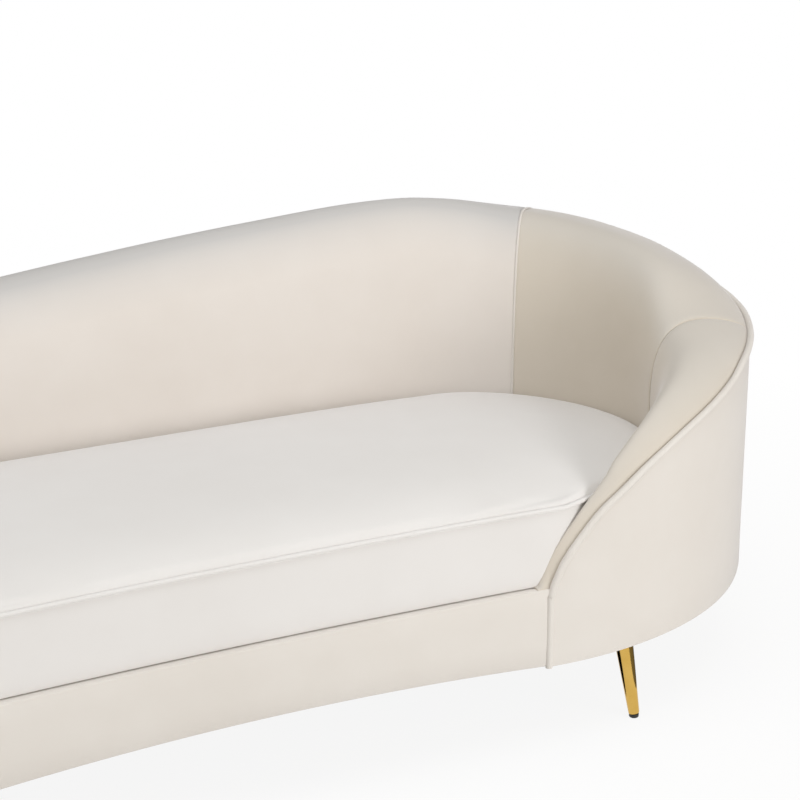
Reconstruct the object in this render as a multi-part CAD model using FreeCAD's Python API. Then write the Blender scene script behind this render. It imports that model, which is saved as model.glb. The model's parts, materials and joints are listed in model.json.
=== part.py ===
"""Three-seater sofa with a capsule-shaped bench seat inside a thick wrap-round back.

Millimetres, +Z up, the front faces -Y, origin on the floor under the middle.
Plan positions are first worked out with y counted from the front of the base.
"""
import FreeCAD, Part
import math
import os

V = FreeCAD.Vector
os.makedirs("parts", exist_ok=True)

# Plan of the outside, all arcs tangent to each other
FRONT_HALF = 507.0        # middle to the upright front welt
FRONT_HOLLOW = 14.0       # how far the front bows back at the middle
END_RADIUS = 608.0        # front half of each rounded end
CORNER_TURN = 62.0        # heading, in degrees, where the rear corner starts
CORNER_RADIUS = 320.0
BACK_BOW = 20.0           # how far the back bows out past the corners
COVER_SPLIT = 45.0        # facing of the seam between the end and back covers
SPLIT_LAP = 2.0           # degrees that a trim runs past that seam

# Plan of the seat well
WELL_BACK = 622.0         # front to the foot of the back cushioning
WELL_END_OUT = 48.0       # centre of its rounded end, past the upright front welt
WELL_END_RADIUS = 292.0
WELL_TAPER = 70.0         # turn of the rounded end before the straight run to the front

# Heights
BASE_Z = 150.0            # lower edge of the covers
DECK_Z = 287.0            # top of the apron and of the deck
SEAT_Z = 425.0            # welt round the top of the seat cushion
SEAT_CROWN = 24.0
FRONT_ARCH = 15.0         # lift of the apron's lower edge at the middle

# Frame
COVER_T = 2.0
PANEL_T = 10.0            # bent plywood behind the outside cover
RAIL_T = 50.0
FRAME_Z = 156.0           # underside of the base rails
RAIL_TOP_Z = 279.0
POST_DEPTH = 40.0
POST_WIDTH = 45.0
TOP_RAIL_Z = 460.0
TOP_RAIL_H = 50.0
STRETCHER_T = 30.0
STRETCHER_TOP_Z = 239.0
STRETCHER_IN = 180.0      # outer stretchers inside the ends of the seat's back rail
STRETCHER_SHARES = (-1.0, -1 / 3, 1 / 3, 1.0)
SPRING_RAIL_Y = 585.0
SPRING_RAIL_DEPTH = 40.0
SPRING_RAIL_OUT = 223.0   # end of the seat's back rail past the upright front welt
BACK_POSTS = (62.0, 88.6, 91.4, 118.0)         # facings of the posts behind the back
SIDE_POSTS = ((12.0, 460.0), (-40.0, 440.0))   # facing and top of the posts of an end
DUST_T = 1.5

# Springs of the seat deck
SPRING_COUNT = 11
SPRING_PITCH = 118.0
SPRING_SWING = 24.0       # half the width of the zigzag
SPRING_BENDS = 14
SPRING_WIRE = 4.0
SPRING_LAP = 22.0         # length of spring lying on a rail
CLIP_WIDTH = 36.0
CLIP_DEPTH = 14.0
CLIP_T = 2.0
DECK_T = 1.6

# Welts and clearances
WELT_D = 12.0
SEAT_WELT_D = 8.0
WELT_SAG = 0.28           # how far a faceted welt may cut across its curve
FIT = 0.3                 # clearance between neighbouring pieces
WELT_ROOM = 0.9           # clearance of pads and panels from a welt
SEAT_GAP = 12.0           # cushion side to the cushioning round it
SEAT_SET = 11.0           # cushion face behind the apron's face

# Legs
LEG_TOP_R = 16.0
LEG_FOOT_R = 9.5
LEG_SPLAY = 9.2           # degrees from upright
LEG_MARKS = ((-77.7, -35.0), (75.0, 35.0))   # place on the outline, way that the leg leans
GLIDE_H = 7.0
GLIDE_R = 8.5
PLATE_LONG = 64.0
PLATE_WIDE = 46.0
PLATE_T = 4.0

# Top of the outside cover with its welt, by the direction that the outside faces there
WELT_LINE = ((-93.5, 300.0), (-89.0, 388.0), (-83.8, 432.0), (-77.0, 473.0), (-69.0, 509.0),
             (-59.0, 538.0), (-48.0, 562.0), (-28.0, 586.0), (-10.0, 598.0), (5.0, 613.0),
             (16.0, 632.0), (30.0, 656.0), (45.0, 682.0), (65.0, 706.0), (90.0, 720.0))

# Crest of the cushioning: along the back by share of its straight half, then by the angle round the well's end
BACK_CREST = ((0.0, 759.0), (0.524, 768.0), (1.0, 770.0))
SEAM_TURN, SEAM_CREST = 51.0, 754.0
WRAP_CREST = ((34.0, 742.0), (17.0, 729.0), (0.0, 710.0))
ARM_TURN, ARM_CREST = -18.0, 655.0
ARM_CRESTS = ((-36.0, 583.0), (-53.0, 532.0), (-WELL_TAPER, 491.0))
TIP_CRESTS = ((103.0, 458.0), (58.0, 424.0), (23.0, 388.0))   # by distance past the upright welt
SWEEP_PEAK = 0.95         # where the back starts to sweep down to the left, by the same share
SWEEP_FALL = 0.36         # share of the height above the deck that is gone at the left end
SECTION_TURN = 6.0        # degrees between the sections of a curved pad
CREST_IN = 106.0          # crest behind the foot of the cushioning, where there is room
CREST_SHARE = 0.40        # the same as a share of a thin arm
FACE_RISE = 60.0          # least height of a cushioned face
ROLL_DROP = 72.0          # height of the roll between the face and the crest
ROLL_SHARE = 0.4          # the same as a share of a low face
LIP_H = 36.0              # edge of a pad that laps over the frame
FRAME_ROOM = 1.5          # between a pad and the posts and rail behind it
HOLLOW_SHARE = 0.4        # room for the frame behind a thin pad
FACE_BULGE = 9.0
ROLL_BULGE = 0.14         # share of its chord
SLOPE_BULGE = 0.12
OVERLAP = 10.0            # how far a cutting shape runs past what it cuts

# Seat cushion: sides by share of the boxing's height, top by share of the crown, each with its inset
SEAT_SIDE = ((0.0, 8.0), (0.08, 1.0), (0.5, 6.0), (0.95, 1.0), (1.0, 5.0))
SEAT_TOP = ((0.4, 30.0), (0.75, 76.0), (1.0, 160.0))


def cosd(angle):
    return math.cos(math.radians(angle))


def sind(angle):
    return math.sin(math.radians(angle))


# Tangent arcs of the outside, worked out from the driving sizes
front_radius = (FRONT_HALF ** 2 + FRONT_HOLLOW ** 2) / (2 * FRONT_HOLLOW)
front_turn = math.degrees(math.asin(FRONT_HALF / front_radius))
front_centre = (0.0, FRONT_HOLLOW - front_radius)
end_centre = (FRONT_HALF + END_RADIUS * sind(front_turn), END_RADIUS * cosd(front_turn))
corner_start = CORNER_TURN - 90.0
corner_centre = (end_centre[0] + (END_RADIUS - CORNER_RADIUS) * cosd(corner_start),
                 end_centre[1] + (END_RADIUS - CORNER_RADIUS) * sind(corner_start))
back_y = corner_centre[1] + CORNER_RADIUS + BACK_BOW
back_drop = back_y - corner_centre[1]
back_radius = (corner_centre[0] ** 2 + back_drop ** 2 - CORNER_RADIUS ** 2) / (2 * BACK_BOW)
back_centre = (0.0, back_y - back_radius)
corner_end = math.degrees(math.atan2(corner_centre[1] - back_centre[1], corner_centre[0]))
front_angle = -90.0 - front_turn
slot = math.degrees(WELT_D / END_RADIUS)      # room for the upright welt at the front
front_most = end_centre[1] - END_RADIUS
middle_y = (front_most + back_y) / 2
well_end_x = FRONT_HALF + WELL_END_OUT
well_centre = (well_end_x, WELL_BACK - WELL_END_RADIUS)
spring_rail_half = FRONT_HALF + SPRING_RAIL_OUT
cover_top = WELT_LINE[-1][1] + OVERLAP
sweep_x = SWEEP_PEAK * well_end_x
outside_half = corner_centre[0] + CORNER_RADIUS
outer_stack = COVER_T + PANEL_T
rail_in = outer_stack + RAIL_T

# Each arc: centre, radius, whether an inset widens it, first and last direction
FRONT = (front_centre, front_radius, 1, 90 + front_turn, 90 - front_turn)
END = (end_centre, END_RADIUS, -1, front_angle, corner_start)
END_FACE = (end_centre, END_RADIUS, -1, front_angle + slot, corner_start)
SIDE_CORNER = (corner_centre, CORNER_RADIUS, -1, corner_start, COVER_SPLIT)
REAR_CORNER = (corner_centre, CORNER_RADIUS, -1, COVER_SPLIT, corner_end)
BACK = (back_centre, back_radius, -1, corner_end, 180 - corner_end)


def mirrored(arc):
    (cx, cy), radius, sign, first, last = arc
    return ((-cx, cy), radius, sign, 180 - last, 180 - first)


END_RUN = (END, SIDE_CORNER)
END_FACE_RUN = (END_FACE, SIDE_CORNER)
BACK_RUN = (REAR_CORNER, BACK, mirrored(REAR_CORNER))
LEFT_FACE_RUN = (mirrored(SIDE_CORNER), mirrored(END_FACE))
WHOLE_RUN = (FRONT,) + END_RUN + BACK_RUN + (mirrored(SIDE_CORNER), mirrored(END))
SIDES = (("right", 1), ("left", -1))


def at(x, y, z):
    return V(x, y - middle_y, z)


def on_arc(arc, inset, angle, z):
    (cx, cy), radius, sign = arc[:3]
    reach = radius + sign * inset
    return at(cx + reach * cosd(angle), cy + reach * sind(angle), z)


def arc_edge(arc, inset, z):
    first, last = arc[3:]
    points = [on_arc(arc, inset, a, z) for a in (first, (first + last) / 2, last)]
    return Part.Arc(*points).toShape()


def line(a, b):
    return Part.LineSegment(a, b).toShape()


def band(run, outer, inner, z0, z1):
    """Wall that follows a run of the outline between two insets."""
    first, last = run[0], run[-1]
    edges = [arc_edge(arc, outer, z0) for arc in run]
    edges.append(line(on_arc(last, outer, last[4], z0), on_arc(last, inner, last[4], z0)))
    edges += [arc_edge(arc, inner, z0) for arc in reversed(run)]
    edges.append(line(on_arc(first, inner, first[3], z0), on_arc(first, outer, first[3], z0)))
    wire = Part.Wire(Part.__sortEdges__(edges))
    return Part.Face(wire).extrude(V(0, 0, z1 - z0))


def plate(inset, z0, z1):
    """Solid of the whole outline at an inset."""
    wire = Part.Wire([arc_edge(arc, inset, z0) for arc in WHOLE_RUN])
    return Part.Face(wire).extrude(V(0, 0, z1 - z0))


def outline_arc(angle):
    """Arc of the right-hand outside that faces the given direction."""
    if angle <= corner_start:
        return END
    return SIDE_CORNER if angle <= corner_end else BACK


def swept(z, x):
    """Height of the crest or welt at a place, after the sweep down to the left."""
    if x >= sweep_x:
        return z
    fall = SWEEP_FALL * ((sweep_x - x) / (sweep_x + outside_half)) ** 2
    return DECK_Z + (z - DECK_Z) * (1 - fall)


def welt_height(angle):
    x = outside_point(0, angle, 0).x
    angle = 180 - angle if angle > 90 else angle
    for (a0, z0), (a1, z1) in zip(WELT_LINE, WELT_LINE[1:]):
        if angle <= a1:
            return swept(z0 + (z1 - z0) * (angle - a0) / (a1 - a0), x)
    return swept(WELT_LINE[-1][1], x)


def facings(run):
    """Directions along a run of the outside, close enough for its welt to follow the arcs."""
    found = [run[0][3]]
    for _, radius, _, first, last in run:
        step = 2 * math.degrees(math.acos(1 - WELT_SAG / radius))
        count = math.ceil((last - first) / step)
        found += [first + (last - first) * (i + 1) / count for i in range(count)]
    return found


def outside_point(inset, angle, z):
    """Point of the outside by direction, from the right front welt round to the left one."""
    if angle > 90:
        p = outside_point(inset, 180 - angle, z)
        return V(-p.x, p.y, p.z)
    return on_arc(outline_arc(angle), inset, angle, z)


def mirror(shape):
    return shape.mirror(V(0, 0, 0), V(1, 0, 0))


def save(name, shape):
    shape.exportStep("parts/" + name + ".step")


def both_sides(name, shape):
    save(name + "_right", shape)
    save(name + "_left", mirror(shape))


def group(solids):
    return Part.makeCompound(solids)


# Covers, panels and welts of the outside

def welt_slope(angle):
    """Rise of the welt over the length of the outside."""
    before, after = (outside_point(0, a, welt_height(a)) for a in (angle - 0.5, angle + 0.5))
    return (after.z - before.z) / math.hypot(after.x - before.x, after.y - before.y)


def above_welt(angles):
    """Everything above the foot of the welt, in a strip along the outside."""
    sections = []
    for angle in angles:
        steep = math.hypot(1, welt_slope(angle))
        z = welt_height(angle) - WELT_D / 2 * (1 + steep) - WELT_ROOM
        corners = [outside_point(i, angle, z) for i in (4 * OVERLAP, -OVERLAP)]
        corners += [V(p.x, p.y, cover_top + OVERLAP) for p in reversed(corners)]
        sections.append(Part.makePolygon(corners + corners[:1]))
    return Part.makeLoft(sections, True, True)


def cord(points, outward, diameter, closed=False):
    """Eight-sided cord through points with outward directions; the ends of an open one only steer it."""
    kept = range(len(points)) if closed else range(1, len(points) - 1)
    sections = []
    for i in kept:
        out = outward[i]
        ahead = (points[(i + 1) % len(points)] - points[i - 1]).normalize()
        up = ahead.cross(out).normalize()
        ring = [points[i] + (out * cosd(t) + up * sind(t)) * (diameter / 2) for t in range(0, 360, 45)]
        sections.append(Part.makePolygon(ring + ring[:1]))
    return Part.makeLoft(sections, True, True, closed)


end_angles, back_angles = facings(END_RUN), facings(BACK_RUN)
end_trim_angles = end_angles + [COVER_SPLIT + SPLIT_LAP]
end_trims = {1: above_welt(end_trim_angles), -1: above_welt([180 - a for a in reversed(end_trim_angles)])}
back_trim = above_welt([COVER_SPLIT - SPLIT_LAP] + back_angles + [180 - COVER_SPLIT + SPLIT_LAP])
for name, side in SIDES:
    run = END_FACE_RUN if side > 0 else LEFT_FACE_RUN
    end_cover = band(run, 0, COVER_T, BASE_Z, cover_top)
    end_panel = band(run, COVER_T, outer_stack, FRAME_Z, cover_top)
    save("outside_end_cover_" + name, end_cover.cut(end_trims[side]))
    save("end_panel_" + name, end_panel.cut(end_trims[side]))
save("outside_back_cover", band(BACK_RUN, 0, COVER_T, BASE_Z, cover_top).cut(back_trim))
save("back_panel", band(BACK_RUN, COVER_T, outer_stack, FRAME_Z, cover_top).cut(back_trim))


def edge_welt(angles, upright=(), side=1):
    """Welt along the top of the outside, after an upright run at its front end."""
    if side < 0:
        angles = [180 - a for a in angles]
    marks = [(angles[0], z) for z in upright]
    marks += [(a, welt_height(a) - WELT_D / 2) for a in angles]
    marks = marks[::side]
    points = [outside_point(WELT_D / 2, a, z) for a, z in marks]
    return cord(points, [V(cosd(a), sind(a), 0) for a, z in marks], WELT_D)


front_end = front_angle + slot / 2
welt_angles = [front_end] + [a for a in end_angles if a > front_end + slot] + [COVER_SPLIT + SPLIT_LAP]
welt_angles.insert(-2, COVER_SPLIT - SPLIT_LAP)
for name, side in SIDES:
    save("edge_welt_" + name, edge_welt(welt_angles, (BASE_Z - OVERLAP, BASE_Z, DECK_Z), side))
split_steps = [COVER_SPLIT - SPLIT_LAP, COVER_SPLIT, COVER_SPLIT + SPLIT_LAP]
far_steps = [180 - a for a in reversed(split_steps)]
middle_angles = [a for a in back_angles if split_steps[-1] < a < far_steps[0]]
save("edge_welt_back", edge_welt(split_steps + middle_angles + far_steps))


# Apron across the front, with the arch of its lower edge

def arch_cut(z):
    """Cylinder across the front whose top is the arch above height z."""
    radius = (FRONT_HALF ** 2 + FRONT_ARCH ** 2) / (2 * FRONT_ARCH)
    start = at(0, front_most - OVERLAP, z + FRONT_ARCH - radius)
    return Part.makeCylinder(radius, rail_in + FRONT_HOLLOW + 3 * OVERLAP, start, V(0, 1, 0))


apron = band((FRONT,), 0, outer_stack, BASE_Z, DECK_Z).cut(arch_cut(BASE_Z))
save("front_apron", apron)

# Base frame

front_rail = band((FRONT,), outer_stack, rail_in, FRAME_Z, RAIL_TOP_Z).cut(arch_cut(FRAME_Z))
end_rail = band(END_RUN, outer_stack, rail_in, FRAME_Z, RAIL_TOP_Z)
back_rail = band(BACK_RUN, outer_stack, rail_in, FRAME_Z, RAIL_TOP_Z)
inside_rails = plate(rail_in, FRAME_Z, RAIL_TOP_Z)


def stretcher(x):
    z0 = FRAME_Z + DUST_T
    size = (STRETCHER_T, back_y, STRETCHER_TOP_Z - z0)
    return Part.makeBox(*size, at(x - STRETCHER_T / 2, 0, z0)).common(inside_rails)


save("base_front_rail", front_rail)
save("base_back_rail", back_rail)
both_sides("base_end_rail", end_rail)
for number, share in enumerate(STRETCHER_SHARES, 1):
    save("base_stretcher_%d" % number, stretcher(share * (spring_rail_half - STRETCHER_IN)))
spring_rail = Part.makeBox(2 * spring_rail_half, SPRING_RAIL_DEPTH, RAIL_TOP_Z - STRETCHER_TOP_Z,
                           at(-spring_rail_half, SPRING_RAIL_Y, STRETCHER_TOP_Z))
save("seat_back_rail", spring_rail)
save("dust_cover", plate(rail_in + FIT, FRAME_Z, FRAME_Z + DUST_T))

# Back frame: posts on the base rails and a curved rail on the posts

def post(angle, top_z):
    """Upright against the panel, facing the given direction."""
    foot = outside_point(outer_stack + POST_DEPTH, angle, RAIL_TOP_Z)
    box = Part.makeBox(POST_DEPTH, POST_WIDTH, top_z - RAIL_TOP_Z, V(0, -POST_WIDTH / 2, 0))
    box.rotate(V(0, 0, 0), V(0, 0, 1), angle)
    box.translate(foot)
    return box.common(plate(outer_stack, RAIL_TOP_Z, cover_top))


top_rail = band(BACK_RUN, outer_stack, outer_stack + POST_DEPTH, TOP_RAIL_Z, TOP_RAIL_Z + TOP_RAIL_H)
save("back_top_rail", top_rail)
save("back_posts", group([post(a, TOP_RAIL_Z) for a in BACK_POSTS]))
both_sides("side_posts", group([post(a, z) for a, z in SIDE_POSTS]))

# Seat deck: zigzag springs, their clips and the deck cloth

def zigzag(x, y0, y1):
    """Flat zigzag spring that runs from the front rail to the seat's back rail."""
    rise = (y1 - y0) / SPRING_BENDS
    across = SPRING_WIRE * math.hypot(2 * SPRING_SWING, rise) / rise
    path = [(x + SPRING_SWING * (-1) ** i, y0 + rise * i) for i in range(SPRING_BENDS + 1)]
    left = [at(px - across / 2, py, RAIL_TOP_Z) for px, py in path]
    right = [at(px + across / 2, py, RAIL_TOP_Z) for px, py in reversed(path)]
    face = Part.Face(Part.makePolygon(left + right + left[:1]))
    return face.extrude(V(0, 0, SPRING_WIRE))


def clip(x, y):
    corner = at(x - CLIP_WIDTH / 2, y, RAIL_TOP_Z + SPRING_WIRE)
    return Part.makeBox(CLIP_WIDTH, CLIP_DEPTH, CLIP_T, corner)


spring_x = [SPRING_PITCH * (i - (SPRING_COUNT - 1) / 2) for i in range(SPRING_COUNT)]
springs, clips = [], []
for x in spring_x:
    reach = front_radius + rail_in
    front_edge = front_centre[1] + math.sqrt(reach ** 2 - x ** 2)
    if abs(x) > FRONT_HALF:
        reach = END_RADIUS - rail_in
        front_edge = end_centre[1] - math.sqrt(reach ** 2 - (abs(x) - end_centre[0]) ** 2)
    springs.append(zigzag(x, front_edge - SPRING_LAP, SPRING_RAIL_Y + SPRING_LAP))
    clips.append(clip(x, front_edge - SPRING_LAP))
    clips.append(clip(x, SPRING_RAIL_Y + SPRING_LAP - CLIP_DEPTH))
save("seat_springs", group(springs))
save("spring_clips", group(clips))
save("deck_cloth", plate(outer_stack + POST_DEPTH + FIT, DECK_Z - DECK_T, DECK_Z))

# Cushioning of the back, the wraps and the arms

def ray_out(x, y, angle):
    """Distance along a direction from a point of the well to the outside, and its facing."""
    dx, dy = cosd(angle), sind(angle)
    for (cx, cy), radius, _, first, last in (END, SIDE_CORNER, REAR_CORNER, BACK):
        along = (cx - x) * dx + (cy - y) * dy
        off = (cx - x) ** 2 + (cy - y) ** 2 - along ** 2
        if off >= radius ** 2:
            continue
        reach = along + math.sqrt(radius ** 2 - off)
        facing = math.degrees(math.atan2(y + reach * dy - cy, x + reach * dx - cx))
        if facing < front_angle:
            facing += 360
        if first - 1e-6 <= facing <= last + 1e-6:
            return reach, facing
    raise ValueError("no outside ahead of %.0f, %.0f" % (x, y))


def pad_section(x, y, angle, crest_z, side):
    """Upright section of the cushioning, from the well outwards, with the heights of one side."""
    depth, facing = ray_out(x, y, angle)
    edge_z = welt_height(facing if side > 0 else 180 - facing)
    crest_u = min(CREST_IN, CREST_SHARE * depth)
    crest_z = swept(crest_z, side * (x + crest_u * cosd(angle)))
    foot_z = min(SEAT_Z, crest_z - FACE_RISE)
    foot, crest = (0.0, foot_z), (crest_u, crest_z)
    shoulder = (crest_u / 2, crest_z - min(ROLL_DROP, ROLL_SHARE * (crest_z - foot_z)))
    square = cosd(angle - facing)
    wall = depth - (outer_stack + WELT_ROOM) / square
    hollow = wall - min((POST_DEPTH + FRAME_ROOM) / square, HOLLOW_SHARE * wall)
    rim, lip_out = (wall, edge_z - WELT_D / 2), (wall, edge_z - LIP_H)
    lip_in, low_out, low_in = (hollow, lip_out[1]), (hollow, DECK_Z), (0.0, DECK_Z)
    face_share = FACE_BULGE * min(1.0, depth / CREST_IN) ** 2 / (shoulder[1] - foot_z)

    def swell(a, b, share, count):
        """Places from a to b along a curve that swells to its left by a share of its chord."""
        du, dz = b[0] - a[0], b[1] - a[1]
        places = []
        for t in (i / count for i in range(1, count + 1)):
            rise = 4 * share * t * (1 - t)
            places.append((a[0] + t * du - rise * dz, a[1] + t * dz + rise * du))
        return places

    marks = [low_in, foot] + swell(foot, shoulder, face_share, 3) + swell(shoulder, crest, ROLL_BULGE, 3)
    marks += swell(crest, rim, SLOPE_BULGE, 4) + [lip_out, lip_in, low_out]
    return [at(x + u * cosd(angle), y + u * sind(angle), z) for u, z in marks]


def skin(sections):
    """Solid of flat triangles over sections that have the same number of points."""
    faces = []
    for here, there in zip(sections, sections[1:]):
        for i in range(len(here)):
            a, b, c, d = here[i - 1], here[i], there[i], there[i - 1]
            faces += [Part.Face(Part.makePolygon(tri)) for tri in ((a, b, c, a), (a, c, d, a))]
    for end in (sections[0], sections[-1]):
        faces.append(Part.Face(Part.makePolygon(end + end[:1])))
    return Part.Solid(Part.makeShell(faces))


def well_section(turn, crest_z, side):
    """Section at an angle round the well's right-hand end, with the heights of one side."""
    x = well_centre[0] + WELL_END_RADIUS * cosd(turn)
    y = well_centre[1] + WELL_END_RADIUS * sind(turn)
    return pad_section(x, y, turn, crest_z, side)


def taper_y(x):
    """Place of the straight run of the well's front corner."""
    touch_x = well_centre[0] + WELL_END_RADIUS * cosd(WELL_TAPER)
    touch_y = well_centre[1] - WELL_END_RADIUS * sind(WELL_TAPER)
    return touch_y - (touch_x - x) * cosd(WELL_TAPER) / sind(WELL_TAPER)


def between(marks, step):
    """Marks of place and crest, with more between them so that none are further apart than a step."""
    filled = list(marks[:1])
    for (a0, z0), (a1, z1) in zip(marks, marks[1:]):
        count = math.ceil(abs(a1 - a0) / step)
        filled += [(a0 + (a1 - a0) * i / count, z0 + (z1 - z0) * i / count) for i in range(1, count + 1)]
    return filled


def turned(marks, side):
    return [well_section(turn, crest, side) for turn, crest in between(marks, SECTION_TURN)]


shoulder_mark = (90.0, BACK_CREST[-1][1])
seam_mark, arm_mark = (SEAM_TURN, SEAM_CREST), (ARM_TURN, ARM_CREST)
half_backs = {}
for name, side in SIDES:
    half = [pad_section(share * well_end_x, WELL_BACK, 90.0, z, side) for share, z in BACK_CREST[:-1]]
    half_backs[side] = half + turned((shoulder_mark, seam_mark), side)
    wrap = turned((seam_mark,) + WRAP_CREST + (arm_mark,), side)
    arm = turned((arm_mark,) + ARM_CRESTS, side)
    for past, crest in TIP_CRESTS:
        tip_x = FRONT_HALF + past
        arm.append(pad_section(tip_x, taper_y(tip_x), -WELL_TAPER, crest, side))
    for piece, sections in (("wrap_pad_", wrap), ("arm_pad_", arm)):
        pad = skin(sections)
        save(piece + name, pad if side > 0 else mirror(pad))
left_back = [[V(-p.x, p.y, p.z) for p in section] for section in half_backs[-1]]
save("back_pad", skin(left_back[:0:-1] + half_backs[1]))

# Seat cushion: boxed sides that draw in between the seams, and a crowned top

def seat_outline(inset, z):
    """Outline of the cushion at an inset from its fullest size."""
    gap = SEAT_GAP + inset
    radius = WELL_END_RADIUS - gap
    reach = front_radius + SEAT_SET + inset
    touch = V(well_centre[0] + radius * cosd(WELL_TAPER), well_centre[1] - radius * sind(WELL_TAPER), 0)
    ahead = V(-sind(WELL_TAPER), -cosd(WELL_TAPER), 0)
    to_centre = V(front_centre[0], front_centre[1], 0) - touch
    along = to_centre.dot(ahead)
    run = along - math.sqrt(reach ** 2 - (to_centre.Length ** 2 - along ** 2))
    corner = touch + ahead * run

    def end_point(turn, side):
        return at(side * (well_centre[0] + radius * cosd(turn)), well_centre[1] + radius * sind(turn), z)

    def end_arc(first, last, side):
        return Part.Arc(*[end_point(t, side) for t in (first, (first + last) / 2, last)]).toShape()

    right, left = at(corner.x, corner.y, z), at(-corner.x, corner.y, z)
    middle = at(0, front_centre[1] + reach, z)
    half = -WELL_TAPER / 2 + 45.0
    edges = [Part.Arc(left, middle, right).toShape(), line(right, end_point(-WELL_TAPER, 1)),
             end_arc(-WELL_TAPER, half, 1), end_arc(half, 90.0, 1),
             line(end_point(90.0, 1), end_point(90.0, -1)),
             end_arc(90.0, half, -1), end_arc(half, -WELL_TAPER, -1),
             line(end_point(-WELL_TAPER, -1), left)]
    return Part.Wire(edges)


seat_foot = DECK_Z + FIT
boxing = SEAT_Z - seat_foot
side_wires = [seat_outline(inset, seat_foot + share * boxing) for share, inset in SEAT_SIDE]
top_wires = [seat_outline(inset, SEAT_Z + share * SEAT_CROWN) for share, inset in SEAT_TOP]
save("seat_cushion", Part.makeLoft(side_wires + top_wires, True, True))


def seat_welt():
    """Cord round the cushion, on the fullest line of its sides under the edge of the top."""
    share, inset = SEAT_SIDE[-2]
    path = seat_outline(inset - SEAT_WELT_D / 2 - FIT, seat_foot + share * boxing)
    points = []
    for edge in path.OrderedEdges:
        run = edge.discretize(QuasiDeflection=WELT_SAG)
        if edge.Orientation == "Reversed":
            run.reverse()
        points += run[:-1]
    outward = []
    for i, p in enumerate(points):
        ahead = points[(i + 1) % len(points)] - points[i - 1]
        outward.append(ahead.cross(V(0, 0, 1)).normalize())
    return cord(points, outward, SEAT_WELT_D, True)


save("seat_welt", seat_welt())

# Legs: tapered, splayed, each on a plate under the base rails

def leg_parts(mark, lean):
    """Leg, glide and plate at one place of the outline, on the right."""
    seat = outside_point(outer_stack + RAIL_T / 2, mark, FRAME_Z - PLATE_T)
    axis = V(sind(LEG_SPLAY) * cosd(lean), sind(LEG_SPLAY) * sind(lean), -cosd(LEG_SPLAY))
    top = seat + axis * (LEG_TOP_R * sind(LEG_SPLAY) / cosd(LEG_SPLAY))
    length = (top.z - GLIDE_H - LEG_FOOT_R * sind(LEG_SPLAY)) / cosd(LEG_SPLAY)
    foot = top + axis * length
    leg = Part.makeCone(LEG_TOP_R, LEG_FOOT_R, length, top, axis)
    glide = Part.makeCylinder(GLIDE_R, GLIDE_H, V(foot.x, foot.y, 0))
    base = Part.makeBox(PLATE_WIDE, PLATE_LONG, PLATE_T, V(-PLATE_WIDE / 2, -PLATE_LONG / 2, 0))
    base.rotate(V(0, 0, 0), V(0, 0, 1), mark)
    base.translate(seat)
    return leg, glide, base


plates, glides = [], []
for side, (mark, lean) in zip(("front", "back"), LEG_MARKS):
    leg, glide, leg_plate = leg_parts(mark, lean)
    save("legs_" + side, group([leg, mirror(leg)]))
    glides += [glide, mirror(glide)]
    plates += [leg_plate, mirror(leg_plate)]
save("leg_glides", group(glides))
save("leg_plates", group(plates))
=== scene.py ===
"""Ivory velvet three-seater sofa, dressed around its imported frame.

Plan sizes are in millimetres: x to the right, y from the front of the base, z from the floor.
"""

import json
import math

import bmesh
import bpy
from mathutils import Matrix, Vector
from mathutils.geometry import interpolate_bezier


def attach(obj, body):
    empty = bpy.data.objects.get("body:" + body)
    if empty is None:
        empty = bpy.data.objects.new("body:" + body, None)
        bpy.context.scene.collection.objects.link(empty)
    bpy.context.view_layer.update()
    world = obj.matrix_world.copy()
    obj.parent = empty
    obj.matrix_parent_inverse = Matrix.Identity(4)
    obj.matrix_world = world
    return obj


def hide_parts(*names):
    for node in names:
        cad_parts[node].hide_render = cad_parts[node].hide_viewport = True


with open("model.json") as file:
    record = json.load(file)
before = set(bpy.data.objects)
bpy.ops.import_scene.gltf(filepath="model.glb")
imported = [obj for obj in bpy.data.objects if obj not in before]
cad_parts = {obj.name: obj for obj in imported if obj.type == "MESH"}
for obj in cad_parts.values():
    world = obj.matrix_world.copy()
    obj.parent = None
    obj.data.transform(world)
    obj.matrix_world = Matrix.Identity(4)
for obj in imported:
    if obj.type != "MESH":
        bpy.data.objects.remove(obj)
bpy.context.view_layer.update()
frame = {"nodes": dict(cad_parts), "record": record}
scene = bpy.context.scene
SIDES = (("right", 1), ("left", -1))

# Plan of the outside: tangent arcs
FRONT_HALF = 507.0
FRONT_HOLLOW = 14.0
END_RADIUS = 608.0
CORNER_TURN = 62.0
CORNER_RADIUS = 320.0
BACK_BOW = 20.0
COVER_SPLIT = 45.0        # facing of the seam between the end and back covers
FIRST_FACING = -96.0      # just past the front welt
ROUND_SECTIONS = 248      # sections all the way round, every 1.5 degrees
BACK_SECTIONS = 48        # sections along the straighter back

# Seat well and heights
WELL_BACK = 622.0
WELL_END_X = 555.0
WELL_RADIUS = 292.0
WELL_TAPER = 70.0
BASE_Z = 150.0
DECK_Z = 287.0
SEAT_Z = 425.0

# Covers, welts and linings
COVER_T = 2.0
FRAME_STACK = 12.0        # cover and panel behind it
POST_DEPTH = 40.0
POST_ROOM = 2.0
WELT_D, WELT_SIDES = 12.0, 14
SEAM_D, SEAM_SIDES = 4.5, 10
UPRIGHT_LOW = 2.0         # how far the upright welt reaches below the base
UPRIGHT_SECTIONS = 12
DECK_T, DECK_ROOM = 1.6, 1.0
DUST_Z, DUST_T, DUST_SET = 156.0, 1.5, 50.0
LINING_POINTS = 30

# Outside cover: its edge, turned in under the base, by inset and height over the base, and its rows by
# share of the height
COVER_EDGE = ((COVER_T, 3.0), (COVER_T, 0.0), (0.6, -1.5), (0.0, 1.5))
COVER_ROWS = (0.15, 0.35, 0.55, 0.75, 0.9)

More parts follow.
